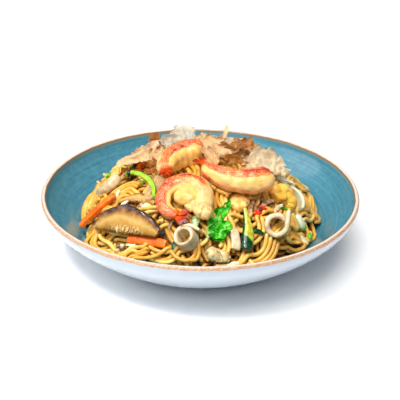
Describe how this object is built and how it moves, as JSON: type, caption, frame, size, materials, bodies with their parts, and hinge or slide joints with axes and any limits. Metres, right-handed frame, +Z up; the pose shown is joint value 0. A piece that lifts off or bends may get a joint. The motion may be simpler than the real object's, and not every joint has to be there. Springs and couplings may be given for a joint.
{
  "type": "yakisoba in a bowl",
  "caption": "Fried noodles heaped in a wide shallow glazed bowl, with prawns, rolled squid, mushroom, vegetables and bonito flakes on top.",
  "frame": {"origin": "middle of the bowl's foot, on the table", "axes": "+Z up out of the bowl; -Y towards the diner, the side the toppings face; +X to the diner's right"},
  "size_m": [0.248, 0.248, 0.0967],
  "materials": {
    "glaze": "gloss",
    "noodle": "satin",
    "bonito": "matte",
    "prawn": "satin",
    "squid": "satin",
    "mushroom": "satin",
    "carrot": "satin",
    "courgette": "satin",
    "leaf": "satin",
    "mussel": "satin",
    "scallop": "satin",
    "omelette": "satin",
    "cabbage": "satin"
  },
  "bodies": {
    "root": {"bonito_heap": "bonito", "bowl": "glaze", "cabbage_core": "cabbage", "cabbage_shred_1": "cabbage", "cabbage_shred_2": "cabbage", "cabbage_shred_3": "cabbage", "carrot_back": "carrot", "carrot_front": "carrot", "carrot_left": "carrot", "courgette_chunk": "courgette", "courgette_strip": "courgette", "courgette_wedge": "courgette", "flake_brown": "bonito", "flake_curl": "bonito", "flake_grey": "bonito", "flake_left_point": "bonito", "flake_right_jagged": "bonito", "flake_tip": "bonito", "mushroom_right": "mushroom", "mussel": "mussel", "noodle_heap": "noodle", "omelette_chunk": "omelette", "onion_layer": "cabbage", "prawn_front": "prawn", "prawn_right": "prawn", "prawn_top": "prawn", "scallop": "scallop", "shiitake_back": "mushroom", "shiitake_slice": "mushroom", "spinach_leaf": "leaf", "spinach_stalk": "leaf", "squid_curl_left": "squid", "squid_roll_front": "squid", "squid_roll_right": "squid", "squid_strip": "squid", "squid_tentacle": "mussel"}
  },
  "joints": []
}
